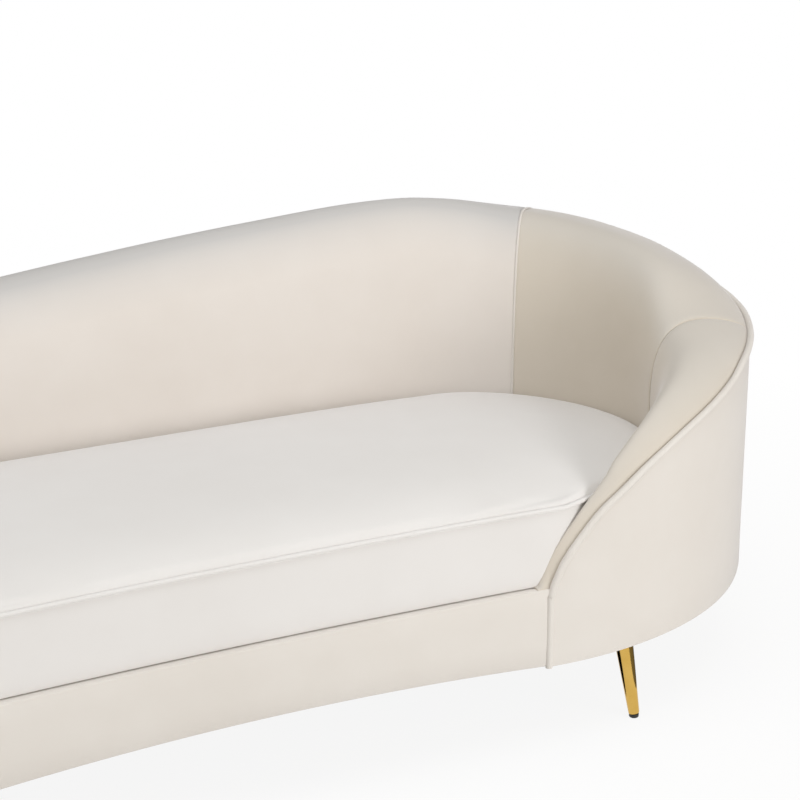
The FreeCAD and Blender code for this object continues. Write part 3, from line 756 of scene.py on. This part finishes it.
def back_welt(bm):
    edge_welt(bm, COVER_SPLIT, 180 - COVER_SPLIT)


both_sides("edge_piping", end_welt, ivory_velvet, "velvet", "edge_welt")
make_piece("edge_piping_back", back_welt, ivory_velvet, "velvet", "sofa", "edge_welt_back")


for piece, (side, turn) in zip(outside_ends, SIDES):
    split_height = (welt_height(on_side(COVER_SPLIT, turn)) - BASE_Z) / 1000
(welt_height(90) - BASE_Z) / 1000


# Deck cloth and dust cover

def plan_sheet(name, inset, z, thick, node):
    """Cloth over the whole plan at an inset."""
    def cut(bm):
        rim = [at(*outside(inset, a), z) for a in back_facings(front_angle, 180 - front_angle)]
        front = [at(x, front_line(x, front_radius + inset), z)
                 for x in steps(-FRONT_HALF, FRONT_HALF, LINING_POINTS)[1:-1]]
        bm.faces.new([bm.verts.new(p) for p in rim + front])
        raised = bmesh.ops.extrude_face_region(bm, geom=bm.faces[:])["geom"]
        bmesh.ops.translate(bm, vec=(0, 0, thick / 1000), verts=only_verts(raised))

    piece = make_piece(name, cut, lining, "lining", "sofa", node)


plan_sheet("deck_lining", FRAME_STACK + POST_DEPTH + DECK_ROOM, DECK_Z - DECK_T, DECK_T, "deck_cloth")
plan_sheet("dust_lining", FRAME_STACK + DUST_SET, DUST_Z, DUST_T, "dust_cover")


# Seat cushion

def seat_loop(inset):
    """Plan of the cushion at an inset from its fullest size, from the middle of the front to the right."""
    radius = WELL_RADIUS - SEAT_GAP - inset
    reach = front_radius + SEAT_SET + inset
    touch = Vector((WELL_END_X + radius * cosd(WELL_TAPER), well_y - radius * sind(WELL_TAPER)))
    ahead = Vector((-sind(WELL_TAPER), -cosd(WELL_TAPER)))
    to_centre = Vector(front_centre) - touch
    along = to_centre.dot(ahead)
    run = along - math.sqrt(reach ** 2 - (to_centre.length_squared - along ** 2))
    corner = touch + ahead * run
    right = [Vector((x, front_line(x, reach))) for x in steps(0, corner.x, STRAIGHT_POINTS)[1:]]
    right += [corner + (touch - corner) * t for t in steps(0, 1, TAPER_POINTS)[1:-1]]
    right += [Vector((WELL_END_X + radius * cosd(a), well_y + radius * sind(a)))
              for a in steps(-WELL_TAPER, 90, ROUND_POINTS)]
    right += [Vector((x, well_y + radius)) for x in steps(WELL_END_X, 0, STRAIGHT_POINTS)[1:-1]]
    left = [Vector((-p.x, p.y)) for p in reversed(right)]
    return [Vector((0, front_centre[1] + reach))] + right + [Vector((0, well_y + radius))] + left


def seat_cushioning(bm):
    """Boxed sides that draw in between the seams, under a crowned top that closes along its middle."""
    rings = [(inset, DECK_Z + SEAT_LIFT + share * (SEAT_Z - DECK_Z)) for share, inset in SEAT_BOXING]
    for inset in SEAT_TOP:
        rings.append((inset, SEAT_Z + SEAT_CROWN * (1 - (1 - min(inset / CROWN_RUN, 1)) ** CROWN_POWER)))
    sections = [[at(p.x, p.y, z) for p in seat_loop(inset)] for inset, z in rings]
    rim, count = sections[-1], len(sections[-1])
    sections.append([(p + rim[(count // 2 - i) % count]) / 2 for i, p in enumerate(rim)])
    loft(bm, sections, caps=(0,))


def plump(piece, sewn):
    """Swells the cushion by air pressure under its cloth, held along its sewn points."""
    group = piece.vertex_groups.new(name="sewn")
    group.add(sewn, 1.0, "ADD")
    filling = piece.modifiers.new("filling", "CLOTH")
    cloth = filling.settings
    cloth.use_pressure = True
    cloth.uniform_pressure_force = FILL_PRESSURE
    cloth.vertex_group_mass = group.name
    cloth.effector_weights.gravity = 0.0
    filling.point_cache.frame_end = FILL_FRAMES
    for tick in range(1, FILL_FRAMES + 1):
        scene.frame_set(tick)
    swollen = piece.evaluated_get(bpy.context.evaluated_depsgraph_get()).data
    moved = [after.co - before.co for before, after in zip(piece.data.vertices, swollen.vertices)]
    piece.modifiers.remove(filling)
    piece.vertex_groups.remove(group)
    for vertex, move in zip(piece.data.vertices, moved):
        limit = (TOP_SWELL if vertex.co.z > SEAT_Z / 1000 else SIDE_SWELL) / 1000
        vertex.co += move if move.length < limit else move.normalized() * limit
    scene.frame_set(1)


def settle(piece):
    """Lets the cloth of the top even out."""
    bm = bmesh.new()
    bm.from_mesh(piece.data)
    top = [v for v in bm.verts if v.co.z > (SEAT_Z + SETTLE_RISE) / 1000]
    for _ in range(SETTLE_PASSES):
        bmesh.ops.smooth_vert(bm, verts=top, factor=0.5, use_axis_x=True, use_axis_y=True, use_axis_z=True)
    bm.to_mesh(piece.data)
    bm.free()


def soften(piece):
    fine = piece.modifiers.new("fine", "SUBSURF")
    fine.levels = fine.render_levels = 1


seat = make_piece("seat_cushion_cover", seat_cushioning, seat_velvet_painted_light, "velvet", "cushion", "seat_cushion")
plump(seat, [v.index for v in seat.data.vertices if v.co.z < (DECK_Z + SEWN_LOW) / 1000
             or abs(v.co.z - SEAT_Z / 1000) < SEWN_BAND / 1000])
settle(seat)
soften(seat)


def seat_piping(bm):
    welt_z = SEAT_Z - SEAT_WELT_D / 2
    points = [at(p.x, p.y, welt_z) for p in seat_loop(-SEAT_WELT_OUT)]
    outward = [p - at(0, well_y, welt_z) for p in points]
    loft(bm, cord_rings(points, outward, SEAT_WELT_D, SEAT_WELT_SIDES, closed=True), ring=True)


make_piece("seat_piping", seat_piping, seat_velvet_painted_light, "velvet", "cushion", "seat_welt")


# Legs

def leg_places():
    """Top, axis and length of the right legs, front and back."""
    for facing, way in LEG_MARKS:
        x, y = outside(FRAME_STACK + LEG_INSET, facing)
        axis = Vector((sind(LEG_SPLAY) * cosd(way), sind(LEG_SPLAY) * sind(way), -cosd(LEG_SPLAY)))
        top = at(x, y, LEG_TOP_Z) + axis * (LEG_TOP_R * math.tan(math.radians(LEG_SPLAY)) / 1000)
        length = (top.z * 1000 - GLIDE_H - LEG_FOOT_R * sind(LEG_SPLAY)) / cosd(LEG_SPLAY) / 1000
        yield top, axis, length


def turned(bm, start, axis, profile):
    """Turned piece about an axis, by distance along it and radius in millimetres."""
    side = axis.orthogonal().normalized()
    other = axis.cross(side)
    loft(bm, [[start + axis * (along / 1000) + (side * cosd(t) + other * sind(t)) * (radius / 1000)
               for t in steps(0, 360, LEG_SIDES)[:-1]] for along, radius in profile])


def tapered_leg(bm, top, axis, length):
    run = length * 1000
    taper = [(0, LEG_TOP_R), (run / 2, (LEG_TOP_R + LEG_FOOT_R) / 2)]
    turned(bm, top, axis, taper + [(run - before, LEG_FOOT_R + change) for before, change in LEG_EDGE])


def glide(bm, top, axis, length):
    foot = top + axis * length
    start = Vector((foot.x, foot.y, (GLIDE_H + GLIDE_SINK) / 1000))
    edge = [(GLIDE_H - before, GLIDE_R + change) for before, change in GLIDE_EDGE]
    turned(bm, start, Vector((0, 0, -1)), [(0, GLIDE_R)] + edge)


def leg_pieces(name, build, places, finish, slot, node):
    """Turned pieces at places on the right, with their fellows on the left."""
    def pairs(bm):
        for place in places:
            build(bm, *place)
        fellows = bmesh.ops.duplicate(bm, geom=bm.verts[:] + bm.edges[:] + bm.faces[:])["geom"]
        bmesh.ops.scale(bm, vec=(-1, 1, 1), verts=only_verts(fellows))

    make_piece(name, pairs, finish, slot, "sofa", node)


front_leg, back_leg = leg_places()
leg_pieces("tapered_legs_front", tapered_leg, [front_leg], gold, "gold", "legs_front")
leg_pieces("tapered_legs_back", tapered_leg, [back_leg], gold, "gold", "legs_back")
leg_pieces("foot_leg_glides", glide, [front_leg, back_leg], glide_black, "black_plastic", "leg_glides")


# Studio, in metres apart from the camera's place, which is in millimetres of the plan

FLOOR_SIDE = 40.0
GLOW_START, GLOW_FULL = 1.0, 2.4      # distances from the sofa's middle
NEAR_GLOW = 0.90                      # share of white in the floor that the camera sees near the sofa
WORLD_COLOUR, WORLD_STRENGTH = (1.0, 0.95, 0.87, 1), 0.42
WHITE = (1, 1, 1, 1)

# Lamps: name, place, aim, width and height, watts, colour
LAMPS = (("key softbox", (2.2, -4.9, 1.4), (0, 0, 0.4), (3.0, 2.0), 108, (1.0, 0.995, 0.99)),
         ("top softbox", (-0.4, -0.9, 4.0), (0, 0.1, 0.4), (4.2, 3.0), 80, (0.91, 0.96, 1.0)))

# Cards that only the polished legs reflect, for the shade under the sofa and beside it: name, place,
# width and depth, grey
CARDS = (("shade card", (-0.11, 0.0, 0.002), (1.5, 0.66), 0.005),
         ("side card", (1.22, -0.45, 0.002), (0.8, 0.9), 0.2))

CAMERA_PLACE = (-1387.4, -3002.0, 1755.8)
CAMERA_DOWN, CAMERA_TURN = 17.95, 27.98
CAMERA_LENS, CAMERA_SENSOR = 105.2, 36.0


def flat_sheet(name, place, width, depth, finish):
    bm = bmesh.new()
    bmesh.ops.create_grid(bm, x_segments=1, y_segments=1, size=0.5)
    spread = Matrix.LocRotScale(Vector(place), None, Vector((width, depth, 1)))
    bmesh.ops.transform(bm, matrix=spread, verts=bm.verts)
    mesh = bpy.data.meshes.new(name)
    bm.to_mesh(mesh)
    bm.free()
    mesh.materials.append(finish)
    sheet = bpy.data.objects.new(name, mesh)
    scene.collection.objects.link(sheet)
    return sheet


def seen_by(nodes, links, *rays):
    """Whether a ray is of one of two kinds."""
    path, seen = nodes.new("ShaderNodeLightPath"), nodes.new("ShaderNodeMath")
    seen.operation = "MAXIMUM"
    for socket, ray in zip(seen.inputs, rays):
        links.new(path.outputs[ray], socket)
    return seen.outputs[0]


def shader_mix(nodes, links, *sources):
    """Shader between two others, by a factor that comes first."""
    mix = nodes.new("ShaderNodeMixShader")
    for socket, source in zip(mix.inputs, sources):
        links.new(source, socket)
    return mix.outputs[0]


def pale_floor():
    """White to the camera and to gloss, apart from the shadow round the sofa."""
    material, nodes, links = new_material("pale floor")
    shader, glow = nodes["Principled BSDF"], nodes.new("ShaderNodeEmission")
    dial(shader, {"Base Color": (0.9, 0.9, 0.9, 1), "Roughness": 0.9})
    dial(glow, {"Color": WHITE})
    place, reach, share = (nodes.new("ShaderNode" + kind) for kind in ("TexCoord", "VectorMath", "Math"))
    reach.operation, share.operation = "LENGTH", "MULTIPLY"
    links.new(place.outputs["Object"], reach.inputs[0])
    far = stretched(nodes, links, reach.outputs["Value"],
                    {"From Min": GLOW_START, "From Max": GLOW_FULL, "To Min": NEAR_GLOW})
    links.new(seen_by(nodes, links, "Is Camera Ray", "Is Glossy Ray"), share.inputs[0])
    links.new(far.outputs["Result"], share.inputs[1])
    mixed = shader_mix(nodes, links, share.outputs[0], shader.outputs[0], glow.outputs[0])
    links.new(mixed, nodes["Material Output"].inputs["Surface"])
    floor = flat_sheet("floor", (0, 0, 0), FLOOR_SIDE, FLOOR_SIDE, material)


def studio_world():
    """Warm fill light, behind a background that is white to the camera."""
    world = bpy.data.worlds.new("studio")
    world.use_nodes = True
    nodes, links = world.node_tree.nodes, world.node_tree.links
    plain, white = nodes["Background"], nodes.new("ShaderNodeBackground")
    dial(plain, {"Color": WORLD_COLOUR, "Strength": WORLD_STRENGTH})
    dial(white, {"Color": WHITE})
    seen = seen_by(nodes, links, "Is Camera Ray", "Is Transmission Ray")
    mixed = shader_mix(nodes, links, seen, plain.outputs[0], white.outputs[0])
    links.new(mixed, nodes["World Output"].inputs["Surface"])
    scene.world = world


def softbox(name, place, aim, size, watts, colour):
    lamp = bpy.data.lights.new(name, "AREA")
    lamp.shape = "RECTANGLE"
    lamp.size, lamp.size_y = size
    lamp.energy = watts
    lamp.color = colour
    holder = bpy.data.objects.new(name, lamp)
    holder.location = place
    holder.rotation_euler = (Vector(aim) - Vector(place)).to_track_quat("-Z", "Y").to_euler()
    scene.collection.objects.link(holder)


def reflected_card(name, place, size, grey):
    material, nodes, _ = new_material(name)
    dial(nodes["Principled BSDF"], {"Base Color": (grey, grey, grey, 1)})
    card = flat_sheet(name, place, *size, material)
    card.visible_camera = card.visible_diffuse = card.visible_shadow = False


def photo_camera():
    camera = bpy.data.cameras.new("photo view")
    camera.lens = CAMERA_LENS
    camera.sensor_width = CAMERA_SENSOR
    holder = bpy.data.objects.new("photo view", camera)
    holder.location = at(*CAMERA_PLACE)
    holder.rotation_euler = (math.radians(90 - CAMERA_DOWN), 0, math.radians(-CAMERA_TURN))
    scene.collection.objects.link(holder)
    scene.camera = holder


pale_floor()
studio_world()
for lamp in LAMPS:
    softbox(*lamp)
for card in CARDS:
    reflected_card(*card)
photo_camera()
scene.view_settings.view_transform = "Standard"
